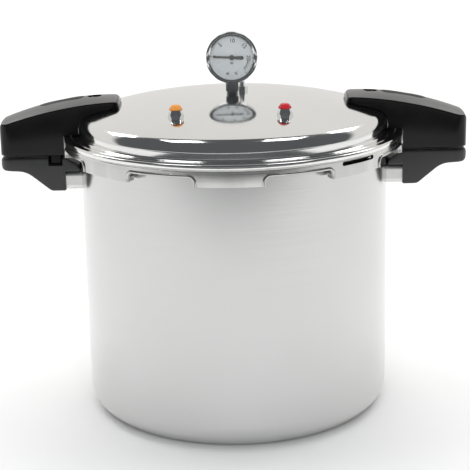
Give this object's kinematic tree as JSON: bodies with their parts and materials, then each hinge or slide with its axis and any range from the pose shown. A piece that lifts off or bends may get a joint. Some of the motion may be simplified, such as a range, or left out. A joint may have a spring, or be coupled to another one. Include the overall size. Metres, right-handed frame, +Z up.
{
  "type": "pressure canner",
  "caption": "Tall aluminium pressure canner with a bayonet lid, black side handles, a dial gauge, safety valves and a steam vent.",
  "frame": {"origin": "centre of the pot's underside, on the surface it stands on", "axes": "+Z up along the pot's axis, X through the two pairs of side handles, the gauge faces -Y"},
  "size_m": [0.4784, 0.3474, 0.3918],
  "materials": {
    "pot_aluminium": "satin spun aluminium",
    "lid_aluminium": "polished aluminium",
    "rack_aluminium": "plain aluminium sheet",
    "ferrule_steel": "bright brushed steel",
    "bracket_steel": "zinc plated steel",
    "screw_steel": "plated steel",
    "handle_phenolic": "gloss black moulded phenolic",
    "pot_handle_phenolic": "black moulded phenolic",
    "inlay_grey": "dark grey label plate",
    "gasket_rubber": "black sealing rubber",
    "gauge_chrome": "polished nickel chrome",
    "gauge_glass": "clear flat lens",
    "dial_enamel": "pale enamelled dial",
    "pointer_black": "black painted pointer",
    "movement_brass": "machined brass",
    "tube_bronze": "drawn bronze tube",
    "stem_steel": "nickel plated brass stem",
    "valve_chrome": "polished nickel",
    "plug_orange": "orange silicone",
    "cap_red": "red moulded cap",
    "seal_grey": "grey silicone seal"
  },
  "bodies": {
    "pot": {"pot": "pot_aluminium", "pot_bracket_left": "bracket_steel", "pot_bracket_right": "bracket_steel", "ferrule_left": "ferrule_steel", "ferrule_right": "ferrule_steel", "pot_handle_left": "pot_handle_phenolic", "pot_handle_right": "pot_handle_phenolic", "pot_handle_screws": "screw_steel"},
    "rack": {"canning_rack": "rack_aluminium"},
    "lid": {"lid": "lid_aluminium", "gasket": "gasket_rubber", "lid_studs": "screw_steel", "lid_handle_left": "handle_phenolic", "lid_handle_right": "handle_phenolic", "lid_handle_screws": "screw_steel", "handle_inlay_left": "inlay_grey", "handle_inlay_right": "inlay_grey", "gauge_stem": "stem_steel", "gauge_washer": "gasket_rubber", "gauge_nut": "screw_steel", "gauge_case": "gauge_chrome", "gauge_bezel": "gauge_chrome", "gauge_lens": "gauge_glass", "gauge_dial": "dial_enamel", "dial_screws": "screw_steel", "movement_frame": "movement_brass", "bourdon_tube": "tube_bronze", "relief_body": "valve_chrome", "relief_plug": "plug_orange", "relief_nut": "screw_steel", "lock_body": "valve_chrome", "lock_nut": "screw_steel", "vent_pipe": "valve_chrome", "vent_nut": "screw_steel"},
    "sector": {"sector_gear": "movement_brass"},
    "link": {"tube_link": "bracket_steel"},
    "pointer": {"pointer_shaft": "movement_brass", "gauge_pointer": "pointer_black"},
    "lock": {"lock_pin": "screw_steel", "lock_cap": "cap_red", "lock_seal": "seal_grey"}
  },
  "joints": [
    {"name": "lid_twist", "type": "hinge", "parent": "pot", "child": "lid", "pos_m": [0, 0, 0.28], "axis": [0, 0, 1], "range_deg": [0, 22.5]},
    {"name": "rack_lift", "type": "slide", "parent": "pot", "child": "rack", "axis": [0, 0, 1], "range_m": [0, 0.24]},
    {"name": "sector_swing", "type": "hinge", "parent": "lid", "child": "sector", "pos_m": [0.01239, 0, 0.35688], "axis": [0, -1, 0], "range_deg": [0, 37.5], "stiffness_Nm_per_rad": 0.002},
    {"name": "link_swing", "type": "hinge", "parent": "sector", "child": "link", "pos_m": [0.01085, 0, 0.35265], "axis": [0, 1, 0], "range_deg": [0, 37.5]},
    {"name": "pointer_turn", "type": "hinge", "parent": "lid", "child": "pointer", "pos_m": [0, 0, 0.36555], "axis": [0, 1, 0], "range_deg": [0, 225]},
    {"name": "lock_rise", "type": "slide", "parent": "lid", "child": "lock", "axis": [0, 0, 1], "range_m": [0, 0.005]}
  ],
  "couplings": [
    {"joint": "pointer_turn", "follows": "sector_swing", "ratio": 6},
    {"joint": "link_swing", "follows": "sector_swing", "ratio": 1}
  ]
}
